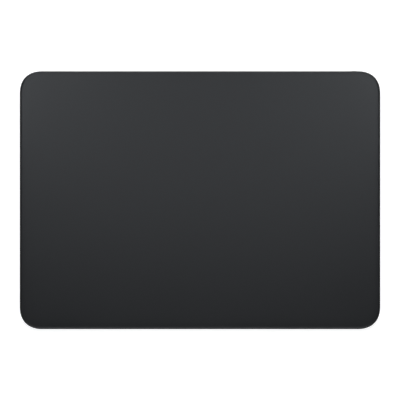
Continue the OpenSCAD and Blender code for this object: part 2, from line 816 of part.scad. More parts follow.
// Strap over the receptacle, screwed down through an ear on each side
module port_bracket() {
    w = port_w + 2 * slide_gap;
    h = port_h + slide_gap;
    y0 = port_face - port_len + strap_t;
    color(steel_grey) difference() {
        translate([0, y0, 0]) {
            translate([-w / 2 - strap_t, 0, board_top]) cube([w + 2 * strap_t, strap_y, h + strap_t]);
            translate([-w / 2 - ear_w, 0, board_top]) cube([w + 2 * ear_w, strap_y, strap_t]);
        }
        translate([-w / 2, y0 - overrun, board_top - overrun]) cube([w, 2 * overrun + strap_y, h + overrun]);
        ear_places() translate([0, 0, -overrun]) cylinder(h = 2 * overrun, d = screw_dia + 2 * hole_gap);
    }
}
module ear_places() {
    y = port_face - port_len + strap_t + strap_y / 2;
    for (x = [-1, 1]) translate([x * (port_w / 2 + ear_screw), y, board_top]) children();
}
module port_screws() {
    color(steel_grey) ear_places() translate([0, 0, strap_t])
        screw(strap_t + board_t, screw_dia, head_dia, head_h);
}

// Antenna: foil on a moulded carrier that sits on the left tab
module antenna_carrier() {
    s = antenna_size;
    x0 = tab_x[0] - s[0] / 2;
    color(mask_black) translate([x0, antenna_y - s[1], board_top + tab_t])
        cube([s[0], s[1], s[2] - antenna_foil_t]);
    color(gold) translate([x0 + tab_t, antenna_y - s[1], board_top + tab_t + s[2] - antenna_foil_t])
        cube([s[0] - 2 * tab_t, s[1], antenna_foil_t]);
}
// Lead: along X from the carrier, round towards the front, then down to its plug
module antenna_cable() {
    x0 = tab_x[0] + antenna_size[0] / 2;
    x1 = coax_x - coax_bend;
    y0 = antenna_y - antenna_size[1] / 2;
    y1 = y0 - coax_bend;
    r = coax_dia / 2;
    color(mask_black) {
        translate([x0, y0, coax_z]) rotate([0, 90, 0]) cylinder(h = x1 - x0, r = r);
        translate([x1, y1, coax_z]) rotate_extrude(angle = 90) translate([coax_bend, 0]) circle(r);
        translate([coax_x, y1, coax_z]) rotate([90, 0, 0]) cylinder(h = y1 - coax_y - coax_drop, r = r);
        translate([coax_x, coax_y + coax_drop, coax_z - coax_drop]) rotate([0, -90, 0]) rotate([0, 0, 180])
            rotate([0, 180, 0]) rotate_extrude(angle = 90) translate([coax_drop, 0]) circle(r);
    }
}

// Room for the post over its whole travel, open to the rear from the given place
module post_slit(y) {
    translate([slit_left, y, switch_z - post_h / 2 - post_slot_gap])
        cube([switch_travel + post_w + 2 * post_slot_gap, 2 * overrun, post_h + 2 * post_slot_gap]);
}
// Bracket behind the rear wall that carries the switch, with a slit for the post
module switch_bracket() {
    color(steel_grey) difference() {
        translate([mount_left, mount_y, switch_z - mount_h / 2])
            cube([mount_right - mount_left, mount_t, mount_h]);
        post_slit(mount_y - overrun);
        mount_screw_places(mount_y + overrun) cylinder(h = 2 * overrun, d = screw_dia + 2 * hole_gap);
    }
}
module switch_housing() {
    s = housing_size;
    mid = nub_x - switch_travel / 2;
    color(mask_black) difference() {
        translate([mid - s[0] / 2, mount_y - s[1], switch_z - s[2] / 2]) cube(s);
        post_slit(mount_y - housing_slot);
    }
}
// Green film that shows in the slot while the switch is on
module switch_indicator() {
    color(signal_green) translate([slit_left - film_w, mount_y + mount_t, switch_z - slot_h / 2])
        cube([film_w, film_t, slot_h]);
}
module switch_screws() {
    color(steel_grey) mount_screw_places(mount_y)
        screw(mount_t + screw_len, screw_dia, head_dia, head_h);
}
// Slider: keeper plate behind the wall, face in the slot and the nub that a nail pushes
module switch_knob() {
    face_y = rear_face - knob_sink;
    color(alu_silver) {
        translate([nub_x - keeper_w / 2, keeper_y, switch_z - keeper_h / 2])
            cube([keeper_w, keeper_t, keeper_h]);
        translate([nub_x, face_y, switch_z]) rotate([90, 0, 0])
            linear_extrude(face_y - keeper_y - keeper_t / 2) stadium_2d(knob_w, knob_h);
        translate([nub_x - nub_w / 2, face_y - knob_sink, switch_z - nub_h / 2])
            cube([nub_w, knob_sink + knob_sink + nub_proud, nub_h]);
    }
}
module switch_post() {
    color(mask_black) translate([nub_x - post_w / 2, keeper_y - post_len, switch_z - post_h / 2])
        cube([post_w, post_len, post_h]);
}

touch_glass();
glass_adhesive();
touch_board();
touch_chips();
touch_connector();
stiffener_plate();
armature_bar();
gel_pads();
case_frame();
bottom_cover();
cover_adhesive();
rubber_feet();
force_beams();
strain_gauges();
beam_screws();
actuator_bracket();
actuator_core();
actuator_coils();
actuator_screws();
main_board();
board_chips();
radio_shield();
board_screws();
board_connectors();
battery_cells();
battery_adhesive();
battery_board();
cell_tabs();
battery_cable();
touch_flex();
gauge_flex();
switch_flex();
port_shell();
port_tongue();
port_contacts();
port_bracket();
port_screws();
antenna_carrier();
antenna_cable();
switch_bracket();
switch_housing();
switch_indicator();
switch_screws();
switch_knob();
switch_post();
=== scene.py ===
import json
import math

import bmesh
import bpy
from mathutils import Matrix, Vector


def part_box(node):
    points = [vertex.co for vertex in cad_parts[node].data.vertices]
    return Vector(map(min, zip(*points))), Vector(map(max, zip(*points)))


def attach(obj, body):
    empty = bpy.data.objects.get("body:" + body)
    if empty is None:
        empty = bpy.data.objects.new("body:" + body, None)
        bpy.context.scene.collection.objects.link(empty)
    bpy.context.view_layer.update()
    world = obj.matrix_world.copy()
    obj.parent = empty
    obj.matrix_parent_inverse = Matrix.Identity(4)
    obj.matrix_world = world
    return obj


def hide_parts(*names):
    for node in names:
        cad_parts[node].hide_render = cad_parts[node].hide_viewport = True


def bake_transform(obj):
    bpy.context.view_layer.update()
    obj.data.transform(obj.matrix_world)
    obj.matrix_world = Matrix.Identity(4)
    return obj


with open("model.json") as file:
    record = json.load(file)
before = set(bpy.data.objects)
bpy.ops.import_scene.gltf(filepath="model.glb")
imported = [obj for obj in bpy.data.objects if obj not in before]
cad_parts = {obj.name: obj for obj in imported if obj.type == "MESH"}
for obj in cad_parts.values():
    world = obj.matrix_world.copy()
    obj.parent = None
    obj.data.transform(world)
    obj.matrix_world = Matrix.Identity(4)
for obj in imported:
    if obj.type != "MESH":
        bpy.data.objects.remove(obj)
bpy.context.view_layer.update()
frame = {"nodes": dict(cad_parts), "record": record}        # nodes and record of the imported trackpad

scene = bpy.context.scene
mm = 0.001

# The wedge, in millimetres. The glass's own frame is tilted about X, its origin in the middle of its top
wedge = {"width": 160.0, "depth": 114.3, "frontHeight": 4.9, "rearHeight": 10.9}
slope = math.atan((wedge["rearHeight"] - wedge["frontHeight"]) / wedge["depth"])
midHeight = (wedge["frontHeight"] + wedge["rearHeight"]) / 2
toMetres = Matrix.Scale(mm, 4)
tilted = Matrix.Translation((0, 0, midHeight)) @ Matrix.Rotation(slope, 4, "X")
quarterTurn = Matrix.Rotation(math.pi / 2, 4, "X")

# Points closer than this many millimetres are one, and an edge that turns further than the crease is sharp
meshing = {"weld": 0.0005, "glassWeld": 0.001, "crease": math.radians(38)}


def linearColour(hexText):
    channels = [int(hexText[i:i + 2], 16) / 255 for i in (1, 3, 5)]
    return tuple(c / 12.92 if c <= 0.04045 else ((c + 0.055) / 1.055) ** 2.4 for c in channels) + (1.0,)


# A value is a constant, a socket, or a node, which stands for its first output
def setInputs(tree, node, inputs):
    for key, value in inputs.items():
        if isinstance(value, bpy.types.Node):
            value = value.outputs[0]
        if isinstance(value, bpy.types.NodeSocket):
            tree.links.new(value, node.inputs[key])
        else:
            node.inputs[key].default_value = value


def addNode(tree, kind, inputs=None, **settings):
    node = tree.nodes.new(kind)
    for name, value in settings.items():
        setattr(node, name, value)
    setInputs(tree, node, inputs or {})
    return node


def newMaterial(name):
    material = bpy.data.materials.new(name)
    material.use_nodes = True
    tree = material.node_tree
    return material, tree, addNode(tree, "ShaderNodeTexCoord").outputs["Object"]


# Ends a material: a pattern blends two tones and a range of roughness, and a bump is a height, a strength
# and a depth in metres
def dress(material, tones, roughness, pattern, bump=None, sockets=None):
    tree = material.node_tree
    tone = addNode(tree, "ShaderNodeMix", {0: pattern, 6: linearColour(tones[0]), 7: linearColour(tones[1])},
                   data_type="RGBA")
    finish = {"Base Color": tone.outputs[2], "Roughness": roughness}
    if isinstance(roughness, tuple):
        span = addNode(tree, "ShaderNodeMapRange", {
            "Value": pattern, "To Min": roughness[0], "To Max": roughness[1]})
        finish["Roughness"] = span
    if bump:
        relief = addNode(tree, "ShaderNodeBump", {
            "Height": bump[0], "Strength": bump[1], "Distance": bump[2]})
        finish["Normal"] = relief
    setInputs(tree, tree.nodes["Principled BSDF"], {**finish, **(sockets or {})})
    return material


def perMm(size):
    return 1000 / size   # a texture's scale for features of this many millimetres, on coordinates in metres


def wavesPerMm(pitch):
    return perMm(pitch) * math.tau / 20   # a Wave texture at scale 1 repeats every 2 pi / 20


# Acid-etched cover glass over black ink: satin black, a soft wide sheen and no sharp reflection
def etchedGlass():
    look = {"ink": "#08080a", "inkWorn": "#0a0a0c", "roughness": (0.40, 0.44), "ior": 1.52,
            "sheen": "#f3f9ff", "cloudSize": 16.0,
            "etchSize": 0.5, "etch": (0.5, 0.000004)}   # real etch is 0.02 mm, drawn coarser to show
    material, tree, coords = newMaterial("etchedGlass")
    clouds = addNode(tree, "ShaderNodeTexNoise", {
        "Vector": coords, "Scale": perMm(look["cloudSize"]), "Detail": 3.0})
    etch = addNode(tree, "ShaderNodeTexNoise", {
        "Vector": coords, "Scale": perMm(look["etchSize"]), "Detail": 2.0})
    return dress(material, (look["ink"], look["inkWorn"]), look["roughness"], clouds,
                 (etch, *look["etch"]), {"IOR": look["ior"], "Specular Tint": linearColour(look["sheen"])})


# Bead-blasted and anodised aluminium: bright satin grey with a fine even dimple and no grain direction
def beadBlastedAluminium():
    look = {"metal": "#c6c8ca", "metalDull": "#bcbec1", "roughness": (0.34, 0.42), "patchSize": 9.0,
            "beadSize": 0.5, "bead": (0.6, 0.000016)}   # real dimples are 0.1 mm, drawn coarser to show
    material, tree, coords = newMaterial("beadBlastedAluminium")
    patches = addNode(tree, "ShaderNodeTexNoise", {
        "Vector": coords, "Scale": perMm(look["patchSize"]), "Detail": 4.0})
    beads = addNode(tree, "ShaderNodeTexVoronoi", {"Vector": coords, "Scale": perMm(look["beadSize"])},
                    feature="SMOOTH_F1")
    return dress(material, (look["metal"], look["metalDull"]), look["roughness"], patches,
                 (beads, *look["bead"]), {"Metallic": 1.0})


# Acrylic foam tape: dull black, with the open cells of foam on its cut edge
def acrylicFoamTape():
    look = {"cell": "#232327", "foam": "#17171a", "roughness": 0.85, "ior": 1.47, "cellSize": 0.3,
            "cellBump": (0.6, 0.00002)}
    material, tree, coords = newMaterial("acrylicFoamTape")
    cells = addNode(tree, "ShaderNodeTexVoronoi", {"Vector": coords, "Scale": perMm(look["cellSize"])})
    return dress(material, (look["cell"], look["foam"]), look["roughness"], cells,
                 (cells, *look["cellBump"]), {"IOR": look["ior"]})


# Glass-epoxy board under green solder mask: glossy green with tracks that stand up a little under the mask
def solderMaskBoard():
    look = {"mask": "#1b4632", "track": "#2a6348", "roughness": 0.32, "ior": 1.55, "trackPitch": 2.4,
            "trackShare": 0.06, "trackLength": 2.2, "trackStep": 0.5, "weaveSize": 0.5, "weaveShare": 0.15,
            "trackBump": (0.5, 0.00004)}
    material, tree, coords = newMaterial("solderMaskBoard")
    tracks = addNode(tree, "ShaderNodeTexBrick", {
        "Vector": coords, "Color1": (0, 0, 0, 1), "Color2": (0, 0, 0, 1), "Mortar": (1, 1, 1, 1),
        "Scale": perMm(look["trackPitch"]), "Mortar Size": look["trackShare"],
        "Brick Width": look["trackLength"], "Row Height": look["trackStep"]})
    weave = addNode(tree, "ShaderNodeTexNoise", {"Vector": coords, "Scale": perMm(look["weaveSize"])})
    height = addNode(tree, "ShaderNodeMath", {0: weave, 1: look["weaveShare"], 2: tracks},
                     operation="MULTIPLY_ADD")
    return dress(material, (look["mask"], look["track"]), look["roughness"], tracks,
                 (height, *look["trackBump"]), {"IOR": look["ior"]})


# Glass-filled moulding resin with a spark-eroded skin: matt black with a fine even grain
def sparkErodedResin():
    look = {"resin": "#1b1b1e", "glint": "#2b2b2f", "roughness": (0.55, 0.7), "ior": 1.53, "grainSize": 0.25,
            "grainBump": (0.5, 0.000015)}
    material, tree, coords = newMaterial("sparkErodedResin")
    grain = addNode(tree, "ShaderNodeTexNoise", {
        "Vector": coords, "Scale": perMm(look["grainSize"]), "Detail": 4.0})
    return dress(material, (look["resin"], look["glint"]), look["roughness"], grain,
                 (grain, *look["grainBump"]), {"IOR": look["ior"]})


# Cold-rolled stainless spring steel: grey with fine rolling lines along its length
def rolledSpringSteel():
    look = {"line": "#86888c", "steel": "#a2a4a7", "roughness": (0.26, 0.4), "lineLength": 12.0,
            "lineWidth": 0.3, "lineBump": (0.4, 0.000004)}
    material, tree, coords = newMaterial("rolledSpringSteel")
    scale = (perMm(look["lineLength"]), perMm(look["lineWidth"]), perMm(look["lineWidth"]))
    stretch = addNode(tree, "ShaderNodeMapping", {"Vector": coords, "Scale": scale})
    lines = addNode(tree, "ShaderNodeTexNoise", {"Vector": stretch, "Scale": 1.0, "Detail": 5.0})
    return dress(material, (look["line"], look["steel"]), look["roughness"], lines,
                 (lines, *look["lineBump"]), {"Metallic": 1.0})


# Stacked silicon-steel laminations: dark grey metal with thin seams between the sheets
def laminatedIron():
    look = {"seam": "#3a3a3d", "sheet": "#6d6e71", "roughness": 0.48, "sheetThickness": 0.35,
            "seamShare": 0.14, "seamBump": (0.4, 0.00002)}
    material, tree, coords = newMaterial("laminatedIron")
    # The sheets lie as the glass does
    level = addNode(tree, "ShaderNodeMapping", {"Vector": coords, "Rotation": (-slope, 0, 0)})
    sheets = addNode(tree, "ShaderNodeTexWave", {"Vector": level, "Distortion": 0.0,
                                                 "Scale": wavesPerMm(look["sheetThickness"])},
                     bands_direction="Z", wave_profile="SAW")
    seams = addNode(tree, "ShaderNodeMapRange", {
        "Value": sheets.outputs["Fac"], "From Max": look["seamShare"]})
    return dress(material, (look["seam"], look["sheet"]), look["roughness"], seams,
                 (seams, *look["seamBump"]), {"Metallic": 1.0})


# Enamelled copper wire: warm metal under a clear glossy lacquer
def enamelledWire():
    look = {"copper": "#b4683a", "copperDark": "#8e4a26", "roughness": 0.25, "coat": 0.9,
            "coatRoughness": 0.12, "toneSize": 1.5}
    material, tree, coords = newMaterial("enamelledWire")
    tones = addNode(tree, "ShaderNodeTexNoise", {"Vector": coords, "Scale": perMm(look["toneSize"])})
    return dress(material, (look["copper"], look["copperDark"]), look["roughness"], tones, sockets={
        "Metallic": 1.0, "Coat Weight": look["coat"], "Coat Roughness": look["coatRoughness"]})


# Cast silicone gel: water-clear and soft, with a faint milky cloud in it
def siliconeGel():
    look = {"gel": "#dfe5e6", "cloud": "#c9d1d3", "roughness": 0.14, "ior": 1.41, "clear": 0.8,
            "cloudSize": 2.0}
    material, tree, coords = newMaterial("siliconeGel")
    clouds = addNode(tree, "ShaderNodeTexNoise", {
        "Vector": coords, "Scale": perMm(look["cloudSize"]), "Detail": 3.0})
    return dress(material, (look["gel"], look["cloud"]), look["roughness"], clouds, sockets={
        "IOR": look["ior"], "Transmission Weight": look["clear"]})


# Compression-moulded silicone rubber: dark grey, dull, with a fine pebble that grips the desk
def mouldedRubber():
    look = {"rubber": "#38393b", "dust": "#46474a", "roughness": (0.74, 0.88), "ior": 1.41, "bloom": 0.15,
            "dustSize": 2.5, "pebbleSize": 0.35, "pebbleBump": (0.5, 0.00003)}
    material, tree, coords = newMaterial("mouldedRubber")
    pebble = addNode(tree, "ShaderNodeTexVoronoi", {"Vector": coords, "Scale": perMm(look["pebbleSize"])})
    dust = addNode(tree, "ShaderNodeTexNoise", {
        "Vector": coords, "Scale": perMm(look["dustSize"]), "Detail": 4.0})
    return dress(material, (look["rubber"], look["dust"]), look["roughness"], dust,
                 (pebble, *look["pebbleBump"]), {"IOR": look["ior"], "Sheen Weight": look["bloom"]})


# Polyimide flexible circuit: glossy amber film over a hatched copper screen, dark where the copper is
def polyimideCircuit():
    look = {"film": "#b87a2c", "copper": "#8a5418", "roughness": 0.28, "ior": 1.7, "hatchPitch": 0.8,
            "hatchTurn": 45, "hatchEdge": (0.72, 0.84), "copperBump": (0.4, 0.00002)}   # the turn in degrees
    material, tree, coords = newMaterial("polyimideCircuit")
    turned = addNode(tree, "ShaderNodeMapping", {
        "Vector": coords, "Rotation": (0, 0, math.radians(look["hatchTurn"]))})
    lines = [addNode(tree, "ShaderNodeTexWave", {"Vector": turned, "Distortion": 0.0,
                                                 "Scale": wavesPerMm(look["hatchPitch"])},
                     bands_direction=way, wave_profile="SIN").outputs["Fac"] for way in ("X", "Y")]
    hatch = addNode(tree, "ShaderNodeMath", {0: lines[0], 1: lines[1]}, operation="MAXIMUM")
    edges = addNode(tree, "ShaderNodeMapRange", {"Value": hatch, "From Min": look["hatchEdge"][0],
                                                 "From Max": look["hatchEdge"][1]})
    return dress(material, (look["film"], look["copper"]), look["roughness"], edges,
                 (edges, *look["copperBump"]), {"IOR": look["ior"]})


# Zinc-plated machine screws: bright metal with a faint blue and straw passivation
def zincPlate():
    look = {"blue": "#b3bac2", "straw": "#bfbba9", "roughness": 0.27, "patchSize": 1.2}
    material, tree, coords = newMaterial("zincPlate")
    patches = addNode(tree, "ShaderNodeTexNoise", {"Vector": coords, "Scale": perMm(look["patchSize"])})
    return dress(material, (look["blue"], look["straw"]), look["roughness"], patches,
                 sockets={"Metallic": 1.0})


# Aluminium-laminate pouch of a cell: dull grey plastic-coated foil, slightly puckered
def laminatePouch():
    look = {"foil": "#7d8187", "shade": "#686c72", "roughness": (0.38, 0.5), "metallic": 0.6,
            "puckerSize": 3.0, "puckerBump": (0.5, 0.00012)}
    material, tree, coords = newMaterial("laminatePouch")
    pucker = addNode(tree, "ShaderNodeTexNoise", {
        "Vector": coords, "Scale": perMm(look["puckerSize"]), "Detail": 3.0})
    return dress(material, (look["foil"], look["shade"]), look["roughness"], pucker,
                 (pucker, *look["puckerBump"]), {"Metallic": look["metallic"]})


# Stretch-release adhesive strip with a paper liner: soft white with short fibres
def paperLiner():
    look = {"paper": "#e8e8e4", "fibre": "#dad9d2", "roughness": 0.8, "fibreSize": 0.6,
            "fibreBump": (0.4, 0.00001)}
    material, tree, coords = newMaterial("paperLiner")
    fibres = addNode(tree, "ShaderNodeTexNoise", {
        "Vector": coords, "Scale": perMm(look["fibreSize"]), "Detail": 5.0})
    return dress(material, (look["paper"], look["fibre"]), look["roughness"], fibres,
                 (fibres, *look["fibreBump"]))


# Rolled nickel strip: warm bright grey with weld marks left as small dull spots
def rolledNickel():
    look = {"weld": "#8b877e", "nickel": "#b0aca4", "roughness": 0.3, "weldPitch": 1.5,
            "weldEdge": (0.15, 0.25)}
    material, tree, coords = newMaterial("rolledNickel")
    welds = addNode(tree, "ShaderNodeTexVoronoi", {"Vector": coords, "Scale": perMm(look["weldPitch"])})
    spots = addNode(tree, "ShaderNodeMapRange", {"Value": welds, "From Min": look["weldEdge"][0],
                                                 "From Max": look["weldEdge"][1]})
    return dress(material, (look["weld"], look["nickel"]), look["roughness"], spots,
                 sockets={"Metallic": 1.0})


# Deep-drawn stainless shell with nickel plating: bright, with faint drawing lines into the mouth
def drawnNickelShell():
    look = {"line": "#95979a", "plate": "#aeb0b2", "roughness": (0.18, 0.3), "lineLength": 6.0,
            "lineWidth": 0.15}
    material, tree, coords = newMaterial("drawnNickelShell")
    scale = (perMm(look["lineWidth"]), perMm(look["lineLength"]), perMm(look["lineWidth"]))
    stretch = addNode(tree, "ShaderNodeMapping", {"Vector": coords, "Scale": scale})
    lines = addNode(tree, "ShaderNodeTexNoise", {"Vector": stretch, "Scale": 1.0, "Detail": 3.0})
    return dress(material, (look["line"], look["plate"]), look["roughness"], lines,
                 sockets={"Metallic": 1.0})


# Hard gold flash over nickel: warm and glossy, a little paler where a plug has rubbed it
def goldFlash():
    look = {"gold": "#cba24c", "rubbed": "#d3bd84", "roughness": 0.22, "rubSize": 0.8}
    material, tree, coords = newMaterial("goldFlash")
    rubs = addNode(tree, "ShaderNodeTexNoise", {
        "Vector": coords, "Scale": perMm(look["rubSize"]), "Detail": 3.0})
    return dress(material, (look["gold"], look["rubbed"]), look["roughness"], rubs,
                 sockets={"Metallic": 1.0})


# Screen-printed polyester film: flat green ink with a slight mottle
def printedFilm():
    look = {"ink": "#3fae49", "thin": "#57bb5d", "roughness": 0.5, "ior": 1.57, "mottleSize": 0.4}
    material, tree, coords = newMaterial("printedFilm")
    mottle = addNode(tree, "ShaderNodeTexNoise", {"Vector": coords, "Scale": perMm(look["mottleSize"])})
    return dress(material, (look["ink"], look["thin"]), look["roughness"], mottle,
                 sockets={"IOR": look["ior"]})


finishes = {
    "etched_glass": etchedGlass(),
    "bead_blasted_aluminium": beadBlastedAluminium(),
    "black_adhesive": acrylicFoamTape(),
    "circuit_laminate": solderMaskBoard(),
    "black_plastic": sparkErodedResin(),
    "stiffener_steel": rolledSpringSteel(),
    "electrical_iron": laminatedIron(),
    "enamelled_copper": enamelledWire(),
    "clear_gel": siliconeGel(),
    "moulded_rubber": mouldedRubber(),
    "polyimide_film": polyimideCircuit(),
    "zinc_plated_steel": zincPlate(),
    "cell_foil": laminatePouch(),
    "white_liner": paperLiner(),
    "nickel_strip": rolledNickel(),
    "receptacle_steel": drawnNickelShell(),
    "gold_plate": goldFlash(),
    "green_film": printedFilm(),
}
slotOf = {row["node"]: row["material_slot"] for row in frame["record"]["subparts"]}
for nodeName, nodeObject in frame["nodes"].items():
    for materialSlot in nodeObject.material_slots:
        materialSlot.material = finishes[slotOf[nodeName]]
print("materials:", len(finishes))


# Points of a rounded rectangle with circular corners
def roundedOutline(width, height, corner, count):
    points = []
    for i in range(count):
        turn = math.tau * (i + 0.5) / count
        pair = []
        for along, half in ((math.cos(turn), width / 2), (math.sin(turn), height / 2)):
            pair.append(math.copysign(half - corner + corner * abs(along), along))
        points.append(pair)
    return points


# A mesh through loops of points; wrap joins the last loop to the first, and otherwise both ends are closed
def loft(builder, loops, wrap=False):
    rings = [[builder.verts.new(point) for point in loop] for loop in loops]
    pairs = list(zip(rings, rings[1:])) + ([(rings[-1], rings[0])] if wrap else [])
    for low, high in pairs:
        for i in range(len(low)):
            j = (i + 1) % len(low)
            builder.faces.new((low[i], low[j], high[j], high[i]))
    if not wrap:
        builder.faces.new(rings[0])
        builder.faces.new(rings[-1])


# Ends a mesh: closed, outward, smooth with sharp edges kept
def closeMesh(name, builder, place=Matrix()):
    bmesh.ops.remove_doubles(builder, verts=builder.verts, dist=meshing["weld"])
    bmesh.ops.recalc_face_normals(builder, faces=builder.faces)
    for face in builder.faces:
        face.smooth = True
    for edge in builder.edges:
        edge.smooth = len(edge.link_faces) == 2 and edge.calc_face_angle() < meshing["crease"]
    mesh = bpy.data.meshes.new(name)
    builder.to_mesh(mesh)
    builder.free()
    mesh.transform(place)
    return mesh


# A finished piece takes over one node, and the print says how far it reaches past the node's box. It rides on a body,
# or, when a second body and the two ends of a bend are given, it rides on none and its place is baked into its mesh
def addPiece(name, mesh, node, body, *bend):
    mesh.materials.clear()
    mesh.materials.append(finishes[slotOf[node]])
    piece = bpy.data.objects.new(name, mesh)
    scene.collection.objects.link(piece)
    low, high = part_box(node)
    points = [v.co for v in mesh.vertices]
    past = [max(low[k] - min(p[k] for p in points), max(p[k] for p in points) - high[k], 0) for k in range(3)]
    print(name, len(mesh.polygons), "faces, past its node by", [round(value / mm, 3) for value in past], "mm")
    if bend:
        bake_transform(piece)
    else:
        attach(piece, body)
    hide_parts(node)


# A tree of Geometry Nodes with named inputs of the given kinds
def newTree(name, sizes):
    tree = bpy.data.node_groups.new(name, "GeometryNodeTree")
    tree.interface.new_socket("Geometry", in_out="INPUT", socket_type="NodeSocketGeometry")
    tree.interface.new_socket("Geometry", in_out="OUTPUT", socket_type="NodeSocketGeometry")
    for label, kind in sizes.items():
        tree.interface.new_socket(label, in_out="INPUT", socket_type="NodeSocket" + kind)
    return tree, addNode(tree, "NodeGroupInput").outputs


# Runs a tree on a mesh and gives the plain mesh that comes out, in metres
def meshFromTree(name, tree, values, seed, place=Matrix()):
    holder = bpy.data.objects.new(name, seed)
    scene.collection.objects.link(holder)
    modifier = holder.modifiers.new("Nodes", "NODES")
    modifier.node_group = tree
    for item in tree.interface.items_tree:
        if item.in_out == "INPUT" and item.name in values:
            modifier[item.identifier] = values[item.name]
    evaluated = holder.evaluated_get(bpy.context.evaluated_depsgraph_get())
    mesh = bpy.data.meshes.new_from_object(evaluated)
    holder.modifiers.remove(modifier)
    bpy.data.objects.remove(holder)
    mesh.transform(toMetres @ place)
    return mesh


# Glass: a grid is wrapped round a squarish-cornered outline, and each row takes a step of the edge profile
def glassTree():
    tree, size = newTree("glassTree", {
        "Width": "Float", "Depth": "Float", "Corner": "Float", "Squareness": "Float", "Outline Points": "Int",
        "Rings": "Int", "Thickness": "Float", "Material": "Material"})
    grid = addNode(tree, "GeometryNodeMeshGrid", {
        "Vertices X": size["Rings"], "Vertices Y": size["Outline Points"]})
    index = addNode(tree, "GeometryNodeInputIndex")
    share = addNode(tree, "ShaderNodeMath", {0: index, 1: size["Outline Points"]}, operation="DIVIDE")
    ring = addNode(tree, "ShaderNodeMath", {0: share}, operation="FLOOR")
    place = addNode(tree, "GeometryNodeInputPosition")
    step = addNode(tree, "GeometryNodeSampleIndex", {0: size["Geometry"], 1: place, 2: ring},
                   data_type="FLOAT_VECTOR")
    profile = addNode(tree, "ShaderNodeSeparateXYZ", {0: step})
    # The last point of a row lies on the first, so that the seam closes when doubles are merged
    column = addNode(tree, "ShaderNodeMath", {0: index, 1: size["Outline Points"]}, operation="MODULO")
    spans = addNode(tree, "ShaderNodeMath", {0: size["Outline Points"], 1: 1.0}, operation="SUBTRACT")
    middle = addNode(tree, "ShaderNodeMath", {0: column, 1: 0.5})
    turn = addNode(tree, "ShaderNodeMath", {0: middle, 1: math.tau}, operation="MULTIPLY")
    angle = addNode(tree, "ShaderNodeMath", {0: turn, 1: spans}, operation="DIVIDE")
    cosine = addNode(tree, "ShaderNodeMath", {0: angle}, operation="COSINE")
    sine = addNode(tree, "ShaderNodeMath", {0: angle}, operation="SINE")
    ray = addNode(tree, "ShaderNodeCombineXYZ", {"X": cosine, "Y": sine})
    side = addNode(tree, "ShaderNodeVectorMath", {0: ray}, operation="SIGN")
    bare = addNode(tree, "ShaderNodeVectorMath", {0: ray}, operation="ABSOLUTE")
    power = addNode(tree, "ShaderNodeMath", {0: 2.0, 1: size["Squareness"]}, operation="DIVIDE")
    powers = addNode(tree, "ShaderNodeCombineXYZ", {"X": power, "Y": power, "Z": 1.0})
    bent = addNode(tree, "ShaderNodeVectorMath", {0: bare, 1: powers}, operation="POWER")
    reach = addNode(tree, "ShaderNodeMath", {0: size["Corner"], 1: profile.outputs["X"]},
                    operation="SUBTRACT")
    halfSize = addNode(tree, "ShaderNodeCombineXYZ", {"X": size["Width"], "Y": size["Depth"]})
    half = addNode(tree, "ShaderNodeVectorMath", {0: halfSize, "Scale": 0.5}, operation="SCALE")
    corners = addNode(tree, "ShaderNodeCombineXYZ", {"X": size["Corner"], "Y": size["Corner"]})
    flat = addNode(tree, "ShaderNodeVectorMath", {0: half, 1: corners}, operation="SUBTRACT")
    curved = addNode(tree, "ShaderNodeVectorMath", {0: bent, "Scale": reach}, operation="SCALE")
    quarter = addNode(tree, "ShaderNodeVectorMath", {0: flat, 1: curved})
    outline = addNode(tree, "ShaderNodeVectorMath", {0: quarter, 1: side}, operation="MULTIPLY")
    height = addNode(tree, "ShaderNodeCombineXYZ", {"Z": profile.outputs["Z"]})
    spot = addNode(tree, "ShaderNodeVectorMath", {0: outline, 1: height})
    wrapped = addNode(tree, "GeometryNodeSetPosition", {"Geometry": grid, "Position": spot})
    rim = addNode(tree, "GeometryNodeFlipFaces", {0: wrapped})
    # Two plain sheets fill the middle of the top and of the underside
    middleSize = addNode(tree, "ShaderNodeVectorMath", {0: flat, "Scale": 2.0}, operation="SCALE")
    sheetSize = addNode(tree, "ShaderNodeSeparateXYZ", {0: middleSize})
    sheet = addNode(tree, "GeometryNodeMeshGrid", {
        "Size X": sheetSize.outputs["X"], "Size Y": sheetSize.outputs["Y"], "Vertices X": 2, "Vertices Y": 2})
    below = addNode(tree, "ShaderNodeMath", {0: size["Thickness"], 1: -1.0}, operation="MULTIPLY")
    down = addNode(tree, "ShaderNodeCombineXYZ", {"Z": below})
    turned = addNode(tree, "GeometryNodeFlipFaces", {0: sheet})
    under = addNode(tree, "GeometryNodeTransform", {"Geometry": turned, "Translation": down})
    whole = addNode(tree, "GeometryNodeJoinGeometry")
    for part in (rim, sheet, under):
        tree.links.new(part.outputs[0], whole.inputs[0])
    merged = addNode(tree, "GeometryNodeMergeByDistance", {
        "Geometry": whole, "Distance": meshing["glassWeld"]})
    bend = addNode(tree, "GeometryNodeInputMeshEdgeAngle")
    sharp = addNode(tree, "FunctionNodeCompare", {0: bend, 1: meshing["crease"]}, operation="GREATER_THAN")
    soft = addNode(tree, "GeometryNodeSetShadeSmooth", {"Geometry": merged, "Shade Smooth": True})
    creased = addNode(tree, "GeometryNodeSetShadeSmooth", {"Geometry": soft, "Selection": sharp,
                                                           "Shade Smooth": False}, domain="EDGE")
    real = addNode(tree, "GeometryNodeRealizeInstances", {"Geometry": creased})
    dressed = addNode(tree, "GeometryNodeSetMaterial", {"Geometry": real, "Material": size["Material"]})
    addNode(tree, "NodeGroupOutput", {0: dressed})
    return tree


